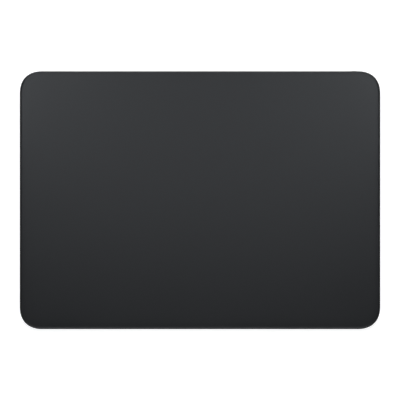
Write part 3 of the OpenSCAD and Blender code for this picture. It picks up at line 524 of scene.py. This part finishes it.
def touchGlass():
    glass = {"corner": 10.3, "squareness": 2.4, "rollWidth": 4.0, "rollTilt": 2.0, "edgeWidth": 1.3,
             "edgeRadius": 2.6, "thickness": 1.0, "outlinePoints": 193, "arcSteps": 14, "rollSteps": 6,
             "supportWidth": 0.03}
    rollTilt = math.radians(glass["rollTilt"])
    fullTilt = math.asin(glass["edgeWidth"] / glass["edgeRadius"] + math.sin(rollTilt))
    rollDrop = math.tan(rollTilt) * glass["rollWidth"] / 2
    steps = [(glass["corner"], -glass["thickness"]), (0.0, -glass["thickness"])]
    for i in range(glass["arcSteps"] + 1):   # the edge is an arc that leaves the roll without a crease
        tilt = fullTilt + (rollTilt - fullTilt) * i / glass["arcSteps"]
        steps.append((glass["edgeWidth"] - glass["edgeRadius"] * (math.sin(tilt) - math.sin(rollTilt)),
                      glass["edgeRadius"] * (math.cos(tilt) - math.cos(rollTilt)) - rollDrop))
    for i in range(1, glass["rollSteps"] + 1):   # the flat rolls off a little before the edge
        share = i / glass["rollSteps"]
        steps.append((glass["edgeWidth"] + glass["rollWidth"] * share, -rollDrop * (1 - share) ** 2))
    steps += [(steps[-1][0] + glass["supportWidth"], 0.0), (glass["corner"], 0.0)]
    profile = bpy.data.meshes.new("glassProfile")
    profile.from_pydata([(inset, 0, height) for inset, height in steps], [], [])
    values = {"Width": wedge["width"], "Depth": wedge["depth"] / math.cos(slope), "Corner": glass["corner"],
              "Squareness": glass["squareness"], "Outline Points": glass["outlinePoints"],
              "Rings": len(steps), "Thickness": glass["thickness"], "Material": finishes["etched_glass"]}
    mesh = meshFromTree("touchGlass", glassTree(), values, profile, tilted)
    addPiece("touchGlass", mesh, "touch_glass", "touch_plate")


gridInputs = {"Columns": "Int", "Rows": "Int", "Column Pitch": "Float", "Row Pitch": "Float"}


# Repeats a small mesh on a grid whose every point carries a second grid, as fasteners sit in pairs and rows
def patternTree():
    inner = {"Inner " + label: kind for label, kind in gridInputs.items()}
    tree, size = newTree("patternTree", {**gridInputs, **inner, "Material": "Material"})
    item = size["Geometry"]
    for level in ("Inner ", ""):
        spans = []
        for count, pitch in (("Columns", "Column Pitch"), ("Rows", "Row Pitch")):
            gaps = addNode(tree, "ShaderNodeMath", {0: size[level + count], 1: 1.0}, operation="SUBTRACT")
            span = addNode(tree, "ShaderNodeMath", {0: gaps, 1: size[level + pitch]}, operation="MULTIPLY")
            spans.append(span)
        grid = addNode(tree, "GeometryNodeMeshGrid", {
            "Size X": spans[0], "Size Y": spans[1], "Vertices X": size[level + "Columns"],
            "Vertices Y": size[level + "Rows"]})
        item = addNode(tree, "GeometryNodeInstanceOnPoints", {"Points": grid, "Instance": item})
    real = addNode(tree, "GeometryNodeRealizeInstances", {"Geometry": item})
    dressed = addNode(tree, "GeometryNodeSetMaterial", {"Geometry": real, "Material": size["Material"]})
    addNode(tree, "NodeGroupOutput", {0: dressed})
    return tree


repeats = patternTree()


# A grid's sizes are in the order of the grid inputs
def addRepeated(name, seed, node, grid, inner=(1, 1, 0.0, 0.0), place=Matrix(), ridesOn=("case",)):
    values = {"Material": finishes[slotOf[node]]}
    for level, sizes in (("", grid), ("Inner ", inner)):
        values.update({level + label: value for label, value in zip(gridInputs, sizes)})
    addPiece(name, meshFromTree(name, repeats, values, seed, place), node, *ridesOn)


# Rubber feet: moulded discs with a rounded lower edge and a ring groove
def rubberFeet():
    feet = {"diameter": 9.0, "height": 0.8, "round": 0.3, "roundSteps": 6, "grooveRadius": 2.6,
            "grooveWidth": 0.5, "grooveDepth": 0.15, "grooveSlope": 0.1, "acrossX": 132.0, "acrossY": 88.3,
            "sides": 72}
    radius = feet["diameter"] / 2
    inner, outer = (feet["grooveRadius"] + side * feet["grooveWidth"] / 2 for side in (-1, 1))
    run, depth = feet["grooveSlope"], feet["grooveDepth"]
    profile = [(inner - run, 0.0), (inner, depth / 2), (inner + run, depth), (outer - run, depth),
               (outer, depth / 2), (outer + run, 0.0)]
    for i in range(feet["roundSteps"] + 1):
        tilt = math.pi / 2 * i / feet["roundSteps"]
        profile.append((radius - feet["round"] * (1 - math.sin(tilt)), feet["round"] * (1 - math.cos(tilt))))
    profile.append((radius, feet["height"]))
    builder = bmesh.new()
    loft(builder, [[(x, y, height) for x, y in roundedOutline(2 * r, 2 * r, r, feet["sides"])]
                   for r, height in profile])
    addRepeated("rubberFeet", closeMesh("footSeed", builder), "rubber_feet",
                (2, 2, feet["acrossX"], feet["acrossY"]))


# Machine screws: pan heads with a rounded rim and a cross recess, shanks with a small lead at the end
def screwSeed(head, headHeight, shank, length):
    screw = {"lead": 0.12, "leadShare": 0.35,   # a rim or recess row is shares of the head and of its height
             "rim": ((0.5, 0.0), (0.5, 0.45), (0.48, 0.75), (0.44, 0.93), (0.39, 1.0)),
             "recess": ((1.0, 1.0), (0.8, 0.3)), "reach": 0.62, "arm": 0.36, "armSharpness": 3, "sides": 48}
    circles = [(shank * screw["leadShare"], -length), (shank / 2, -length + screw["lead"]), (shank / 2, 0.0)]
    circles += [(head * share, headHeight * height) for share, height in screw["rim"]]
    loops = [[(x, y, height) for x, y in roundedOutline(2 * radius, 2 * radius, radius, screw["sides"])]
             for radius, height in circles]
    for share, height in screw["recess"]:
        loop = []
        for i in range(screw["sides"]):
            turn = math.tau * (i + 0.5) / screw["sides"]
            lobe = screw["arm"] + (1 - screw["arm"]) * abs(math.cos(2 * turn)) ** screw["armSharpness"]
            radius = head / 2 * screw["reach"] * share * lobe
            loop.append((radius * math.cos(turn), radius * math.sin(turn), headHeight * height))
        loops.append(loop)
    builder = bmesh.new()
    loft(builder, loops)
    return closeMesh("screwSeed", builder)


def screws():
    sets = {   # size is head, head height, shank and length; place is the middle of the grid
        "beamScrews": {"node": "beam_screws", "size": (2.2, 0.35, 1.2, 1.4), "grid": (2, 2, 147.2, 84.0),
                       "inner": (1, 2, 0.0, 6.0), "place": tilted @ Matrix.Translation((0, 0, -2.4))},
        "actuatorScrews": {"node": "actuator_screws", "size": (2.2, 0.35, 1.2, 1.7),
                           "grid": (2, 1, 14.0, 0.0),
                           "place": tilted @ Matrix.Translation((-4.5, -6, -2.85))},
        "boardScrews": {"node": "board_screws", "size": (2.6, 0.35, 1.4, 1.8), "grid": (2, 1, 64.0, 0.0),
                        "inner": (2, 1, 28.0, 0.0),
                        "place": Matrix.Translation((0, 50.0, 2.9)) @ Matrix.Rotation(math.pi, 4, "X")},
        "portScrews": {"node": "port_screws", "size": (2.2, 0.35, 1.2, 1.2), "grid": (2, 1, 13.34, 0.0),
                       "place": Matrix.Translation((0, 51.55, 4.1))},
        "switchScrews": {"node": "switch_screws", "size": (2.2, 0.35, 1.2, 1.55), "grid": (1, 2, 0.0, 3.0),
                         "place": Matrix.Translation((59.4, 54.9, 5.3)) @ quarterTurn},
    }
    for name, row in sets.items():
        addRepeated(name, screwSeed(*row.pop("size")), **row)


# Loops in the X-Z plane for parts that point out of the rear wall; a row is width, height, corner and Y
def rearLoops(rows, middle, sides):
    return [[(middle[0] + across, y, middle[1] + up)
             for across, up in roundedOutline(width, height, corner, sides)]
            for width, height, corner, y in rows]


# Receptacle shell: the rows run out along the outside of the tube, over its rolled lip and back inside
def portShell():
    shell = {"width": 8.94, "height": 3.16, "wall": 0.3, "back": 49.65, "mouth": 56.95, "middle": (0.0, 5.28),
             "lipSteps": 8, "sides": 96}
    lip = shell["wall"] / 2
    rows = [(shell["width"], shell["height"], shell["height"] / 2, shell["back"])]
    for i in range(shell["lipSteps"] + 1):
        tilt = math.pi * i / shell["lipSteps"]
        inset = lip * (1 - math.cos(tilt))
        rows.append((shell["width"] - 2 * inset, shell["height"] - 2 * inset, shell["height"] / 2 - inset,
                     shell["mouth"] - lip + lip * math.sin(tilt)))
    rows.append(rows[-1][:3] + (shell["back"],))
    builder = bmesh.new()
    loft(builder, rearLoops(rows, shell["middle"], shell["sides"]), wrap=True)
    addPiece("portShell", closeMesh("portShell", builder, toMetres), "port_shell", "case")


# Tongue: a block that closes the back of the receptacle, and a thin blade with a bevelled tip
def portTongue():
    tongue = {"block": (8.3, 2.52), "blade": (6.69, 0.7), "bladeCorner": 0.12, "back": 49.65, "step": 51.85,
              "tip": 56.3, "bevel": 0.35, "middle": (0.0, 5.28), "sides": 96}
    block = tongue["block"] + (tongue["block"][1] / 2,)
    blade = tongue["blade"] + (tongue["bladeCorner"],)
    tip = (blade[0] - tongue["bevel"], blade[1] - tongue["bevel"], tongue["bladeCorner"])
    rows = [block + (tongue["back"],), block + (tongue["step"],), blade + (tongue["step"],),
            blade + (tongue["tip"] - tongue["bevel"],), tip + (tongue["tip"],)]
    builder = bmesh.new()
    loft(builder, rearLoops(rows, tongue["middle"], tongue["sides"]))
    addPiece("portTongue", closeMesh("portTongue", builder, toMetres), "port_tongue", "case")


# Contacts: gold-plated blades with a narrowed end, twelve on each side of the tongue
def portContacts():
    contact = {"width": 0.25, "thickness": 0.05, "corner": 0.02, "length": 3.6, "lead": 0.2, "leadShare": 0.5,
               "count": 12, "pitch": 0.5, "apart": 0.75, "place": (0.0, 51.85, 5.28), "sides": 16}
    rows = [(contact["width"], 0.0), (contact["width"], contact["length"] - contact["lead"]),
            (contact["width"] * contact["leadShare"], contact["length"])]
    builder = bmesh.new()
    loft(builder, [[(x, y, -along) for x, y in roundedOutline(width, contact["thickness"], contact["corner"],
                                                              contact["sides"])] for width, along in rows])
    addRepeated("portContacts", closeMesh("contactSeed", builder), "port_contacts",
                (contact["count"], 2, contact["pitch"], contact["apart"]),
                place=Matrix.Translation(contact["place"]) @ quarterTurn)


# Switch slider: a keeper plate behind the wall, a rounded face in the slot and a dished nub for the fingertip
def switchKnob():
    knob = {"keeper": (7.2, 4.0), "keeperCorner": 0.3, "keeperFrom": 55.75, "keeperTo": 56.2,
            "face": (5.0, 2.2), "faceAt": 56.85, "nub": (2.0, 1.6), "nubCorner": 0.5, "nubAt": 57.75,
            "round": 0.12, "roundSteps": 4, "dish": 0.18,
            "dishSteps": ((0.75, 0.3), (0.55, 0.75), (0.3, 1.0)), "middle": (68.8, 5.3), "sides": 96}
    turn = knob["round"]
    keeper = knob["keeper"] + (knob["keeperCorner"],)
    face = knob["face"] + (knob["face"][1] / 2,)
    nub = knob["nub"] + (knob["nubCorner"],)
    rows = [keeper + (knob["keeperFrom"],), keeper + (knob["keeperTo"],)]
    for outline, foot, top in ((face, knob["keeperTo"], knob["faceAt"]),
                               (nub, knob["faceAt"], knob["nubAt"])):
        rows.append(outline + (foot,))
        for i in range(knob["roundSteps"] + 1):
            tilt = math.pi / 2 * i / knob["roundSteps"]
            inset = turn * (1 - math.cos(tilt))
            rows.append((outline[0] - 2 * inset, outline[1] - 2 * inset, outline[2] - inset,
                         top - turn + turn * math.sin(tilt)))
    for share, depth in knob["dishSteps"]:
        rows.append((nub[0] * share - turn, nub[1] * share - turn, nub[2] * share,
                     knob["nubAt"] - depth * knob["dish"]))
    builder = bmesh.new()
    loft(builder, rearLoops(rows, knob["middle"], knob["sides"]))
    addPiece("switchKnob", closeMesh("switchKnob", builder, toMetres), "switch_knob", "power_slider")


# Windings: a sleeve of wire turns round each pole of the core, each turn a rounded ridge
def actuatorCoils():
    coil = {"outer": (4.0, 2.943), "outerCorner": 0.7, "hole": (2.3, 2.043), "holeCorner": 0.08,
            "start": -8.5, "length": 12.0, "turns": 30, "ridge": 0.12, "stepsPerTurn": 4, "sides": 40,
            "count": 4, "pitch": 5.2, "middle": (9.9, -4.8715)}
    steps = coil["turns"] * coil["stepsPerTurn"]
    rows = []
    for i in range(steps + 1):
        phase = math.pi * (i % coil["stepsPerTurn"]) / coil["stepsPerTurn"]
        inset = coil["ridge"] * (1 - math.sin(phase)) if 0 < i < steps else coil["ridge"]
        rows.append((coil["outer"], coil["outerCorner"], inset, coil["length"] * i / steps))
    rows += [(coil["hole"], coil["holeCorner"], 0.0, along) for along in (coil["length"], 0.0)]
    builder = bmesh.new()
    loft(builder, [[(x, y, along) for x, y in roundedOutline(size[0] - 2 * inset, size[1] - 2 * inset,
                                                             corner - min(inset, corner / 2), coil["sides"])]
                   for size, corner, inset, along in rows], wrap=True)
    turned = Matrix(((0, 0, 1, coil["start"]), (1, 0, 0, coil["middle"][0]), (0, 1, 0, coil["middle"][1]),
                     (0, 0, 0, 1)))   # the poles run along X
    addRepeated("actuatorCoils", closeMesh("coilSeed", builder), "actuator_coils",
                (coil["count"], 1, coil["pitch"], 0.0), place=tilted @ turned)


# Gel pads: discs with a bulged rim, which shear between the beams and the plate when the surface is shaken
def gelPads():
    pads = {"diameter": 7.0, "bulge": 0.08, "under": -2.4, "top": -2.1, "acrossX": 115.2, "acrossY": 84.0,
            "rows": 7, "sides": 64}
    loops = []
    for i in range(pads["rows"]):
        share = i / (pads["rows"] - 1)
        wide = pads["diameter"] - 2 * pads["bulge"] * (1 - math.sin(math.pi * share))
        height = (pads["top"] - pads["under"]) * share
        loops.append([(x, y, height) for x, y in roundedOutline(wide, wide, wide / 2, pads["sides"])])
    builder = bmesh.new()
    loft(builder, loops)
    ends = [(tilted @ Vector((0, 0, pads[key]))) * mm for key in ("under", "top")]
    addRepeated("gelPads", closeMesh("padSeed", builder), "gel_pads",
                (2, 2, pads["acrossX"], pads["acrossY"]), ridesOn=("pads", "touch_plate", *ends),
                place=tilted @ Matrix.Translation((0, 0, pads["under"])))


# Touch ribbon: a flat flexible circuit with soft bends, over the crossbar and down to the board
def touchRibbon():
    ribbon = {"width": 5.0, "thickness": 0.15, "corner": 0.06, "middleX": 16.5, "sides": 20,
              "bend": 3.2, "bendShare": 0.45, "stepsPerBend": 8,   # a bend's limits: mm, share of a leg
              "route": ((-13.358, 5.074), (-6.0, 4.945), (-2.0, 4.945), (14.55, 3.625), (24.55, 3.625),
                        (36.1, 4.375), (41.1, 4.375)),
              "bendFrom": (0.0, -6.0, 4.9), "bendTo": (0.0, 13.0, 4.9)}
    route = [Vector(point) for point in ribbon["route"]]
    path = [route[0]]
    for before, corner, after in zip(route, route[1:], route[2:]):
        ways = [(end - corner).normalized() * min(ribbon["bend"], (end - corner).length * ribbon["bendShare"])
                for end in (before, after)]
        for i in range(ribbon["stepsPerBend"] + 1):
            share = i / ribbon["stepsPerBend"]
            path.append(corner + ways[0] * (1 - share) ** 2 + ways[1] * share ** 2)
    path.append(route[-1])
    section = roundedOutline(ribbon["width"], ribbon["thickness"], ribbon["corner"], ribbon["sides"])
    builder = bmesh.new()
    loft(builder, [[(ribbon["middleX"] + across, y, z + up) for across, up in section] for y, z in path])
    addPiece("touchRibbon", closeMesh("touchRibbon", builder, toMetres), "touch_flex", "pads", "case",
             Vector(ribbon["bendFrom"]) * mm, Vector(ribbon["bendTo"]) * mm)


# Spring beams, their gauges and the gauge ribbons bend where the pads sink and the case doesn't. Each is a copy of its
# node in two halves, left and right, with rows of points across the bend, baked in place unbent
def bendingHalves():
    bends = {   # node, and how far out from the middle the case holds it and the pads move it
        "forceBeams": ("force_beams", 68.6, 61.1),
        "strainGauges": ("strain_gauges", 68.6, 61.1),
        "gaugeRibbons": ("gauge_flex", 58.8, 60.05),
    }
    rows = 8
    for name, (node, held, moved) in bends.items():
        for side, sign in (("Left", -1), ("Right", 1)):
            copy = frame["nodes"][node].data.copy()
            copy.transform(toMetres.inverted())
            builder = bmesh.new()
            builder.from_mesh(copy)
            bmesh.ops.remove_doubles(builder, verts=builder.verts, dist=meshing["weld"])
            walls = [face for face in builder.faces if sum(not edge.is_manifold for edge in face.edges) > 1]
            bmesh.ops.delete(builder, geom=walls, context="FACES")   # where two strips touch face to face
            cuts = [0.0] + [moved + (held - moved) * i / rows for i in range(rows + 1)]
            for cut in cuts:
                bmesh.ops.bisect_plane(
                    builder, geom=builder.verts[:] + builder.edges[:] + builder.faces[:],
                    plane_co=(sign * cut, 0, 0), plane_no=(sign, 0, 0), clear_inner=cut == 0.0)
            bmesh.ops.holes_fill(builder, edges=[edge for edge in builder.edges if edge.is_boundary])
            addPiece(name + side, closeMesh(name + side, builder, toMetres), node, "case", "pads",
                     Vector((sign * held, 0, 0)) * mm, Vector((sign * moved, 0, 0)) * mm)


touchGlass()
rubberFeet()
screws()
portShell()
portTongue()
portContacts()
switchKnob()
actuatorCoils()
gelPads()
touchRibbon()
bendingHalves()
print("pieces set")


# Pale floor: its own glow is weak by the object, to keep the shadow there, and full at the horizon
def studioFloor():
    look = {"colour": "#e6e7e8", "roughness": 0.9, "glowNear": 0.56, "glowFar": 1.0, "nearEdge": 0.16,
            "farEdge": 0.7, "radius": 3.0, "sides": 96}   # metres
    material = bpy.data.materials.new("paleStudioFloor")
    material.use_nodes = True
    tree = material.node_tree
    path = addNode(tree, "ShaderNodeLightPath").outputs
    seen = addNode(tree, "ShaderNodeMath", {0: path["Is Camera Ray"], 1: path["Is Glossy Ray"]},
                   operation="MAXIMUM")
    seenAll = addNode(tree, "ShaderNodeMath", {0: seen, 1: path["Is Transmission Ray"]}, operation="MAXIMUM")
    spot = addNode(tree, "ShaderNodeTexCoord").outputs["Object"]
    reach = addNode(tree, "ShaderNodeVectorMath", {0: spot}, operation="LENGTH")
    glow = addNode(tree, "ShaderNodeMapRange", {
        "Value": reach.outputs["Value"], "From Min": look["nearEdge"], "From Max": look["farEdge"],
        "To Min": look["glowNear"], "To Max": look["glowFar"]})
    shown = addNode(tree, "ShaderNodeMath", {0: seenAll, 1: glow}, operation="MULTIPLY")
    setInputs(tree, tree.nodes["Principled BSDF"], {
        "Base Color": linearColour(look["colour"]), "Roughness": look["roughness"], "Specular IOR Level": 0.0,
        "Emission Color": (1.0, 1.0, 1.0, 1.0), "Emission Strength": shown})
    builder = bmesh.new()
    bmesh.ops.create_circle(builder, cap_ends=True, segments=look["sides"], radius=look["radius"])
    mesh = bpy.data.meshes.new("floor")
    builder.to_mesh(mesh)
    builder.free()
    mesh.materials.append(material)
    floor = bpy.data.objects.new("floor", mesh)
    scene.collection.objects.link(floor)
    print("floor set")


# Pale walls under a dim ceiling, a low white backdrop that metal and glass mirror, and white behind it all
def studioWalls():
    studio = {"wall": 0.3, "ceiling": 0.04, "wallTop": 42.0, "ceilingEdge": 70.0, "backdropTop": 4.0,
              "backdropEnd": 6.0}   # levels against white, and degrees above the horizon
    sines = {key: math.sin(math.radians(studio[key]))
             for key in ("wallTop", "ceilingEdge", "backdropTop", "backdropEnd")}
    world = bpy.data.worlds.new("studio")
    scene.world = world
    world.use_nodes = True
    tree = world.node_tree
    path = addNode(tree, "ShaderNodeLightPath").outputs
    direction = addNode(tree, "ShaderNodeTexCoord").outputs["Generated"]
    height = addNode(tree, "ShaderNodeSeparateXYZ", {0: direction}).outputs["Z"]
    grey = addNode(tree, "ShaderNodeMapRange", {
        "Value": height, "From Min": sines["wallTop"], "From Max": sines["ceilingEdge"],
        "To Min": studio["wall"], "To Max": studio["ceiling"]}, interpolation_type="SMOOTHSTEP")
    band = addNode(tree, "ShaderNodeMapRange", {
        "Value": height, "From Min": sines["backdropTop"], "From Max": sines["backdropEnd"],
        "To Min": 1.0, "To Max": 0.0})
    mirrored = addNode(tree, "ShaderNodeMath", {0: path["Is Glossy Ray"], 1: path["Is Transmission Ray"]},
                       operation="MAXIMUM")
    backdrop = addNode(tree, "ShaderNodeMath", {0: mirrored, 1: band}, operation="MULTIPLY")
    white = addNode(tree, "ShaderNodeMath", {0: backdrop, 1: path["Is Camera Ray"]}, operation="MAXIMUM")
    level = addNode(tree, "ShaderNodeMapRange", {"Value": white, "To Min": grey, "To Max": 1.0})
    setInputs(tree, tree.nodes["Background"], {"Color": (1.0, 1.0, 1.0, 1.0), "Strength": level})
    print("walls set")


# Places are in the glass's frame, in millimetres; radiance is against white, and bounce gives no highlights
def softboxes():
    boxes = {
        "canopy": {"place": (0, 48, 240), "aim": (0, 48, 0), "size": (232, 168), "radiance": 1.025},
        "rearLeft": {"place": (-123, 84, 220), "aim": (-40, 30, 0), "size": (60, 60), "radiance": 6.3},
        "rearRight": {"place": (123, 84, 220), "aim": (40, 30, 0), "size": (60, 60), "radiance": 6.3},
        "frontLow": {"place": (0, -620, 600), "aim": (0, 0, 0), "size": (900, 200), "radiance": 2.8},
        "rearLow": {"place": (0, 640, 600), "aim": (0, 0, 0), "size": (900, 200), "radiance": 3.2},
        "bounce": {"place": (0, 0, 1500), "aim": (0, 0, 0), "size": (1200, 1200), "radiance": 0.85},
    }
    for name, box in boxes.items():
        lamp = bpy.data.lights.new(name, "AREA")
        lamp.shape = "RECTANGLE"
        lamp.size, lamp.size_y = box["size"][0] * mm, box["size"][1] * mm
        lamp.energy = box["radiance"] * math.pi * lamp.size * lamp.size_y
        lampObject = bpy.data.objects.new(name, lamp)
        place, aim = tilted @ Vector(box["place"]), tilted @ Vector(box["aim"])
        lampObject.location = place * mm
        lampObject.rotation_euler = (aim - place).to_track_quat("-Z", "Y").to_euler()
        lampObject.visible_camera = False
        lampObject.visible_glossy = name != "bounce"
        scene.collection.objects.link(lampObject)
    print("softboxes set:", len(boxes))


# The photograph looks along the glass's normal from far away, and shows the body 360 of 400 pixels wide. A
# white floor eats a quarter of a pixel into a rendered edge, so the view is that much closer
def photoCamera():
    lens = {"focal": 300.0, "sensor": 36.0, "shownWidth": wedge["width"] * 400 / 360.5, "raise": 0.065,
            "near": 0.1, "far": 20.0}   # millimetres, and metres for near and far
    distance = lens["shownWidth"] * lens["focal"] / lens["sensor"]
    cameraData = bpy.data.cameras.new("camera")
    cameraData.lens, cameraData.sensor_width = lens["focal"], lens["sensor"]
    cameraData.clip_start, cameraData.clip_end = lens["near"], lens["far"]
    camera = bpy.data.objects.new("camera", cameraData)
    camera.location = (tilted @ Vector((0, lens["raise"], distance))) * mm
    camera.rotation_euler = (slope, 0, 0)
    scene.collection.objects.link(camera)
    scene.camera = camera
    print("camera set")


studioFloor()
studioWalls()
softboxes()
photoCamera()
scene.view_settings.view_transform = "Standard"
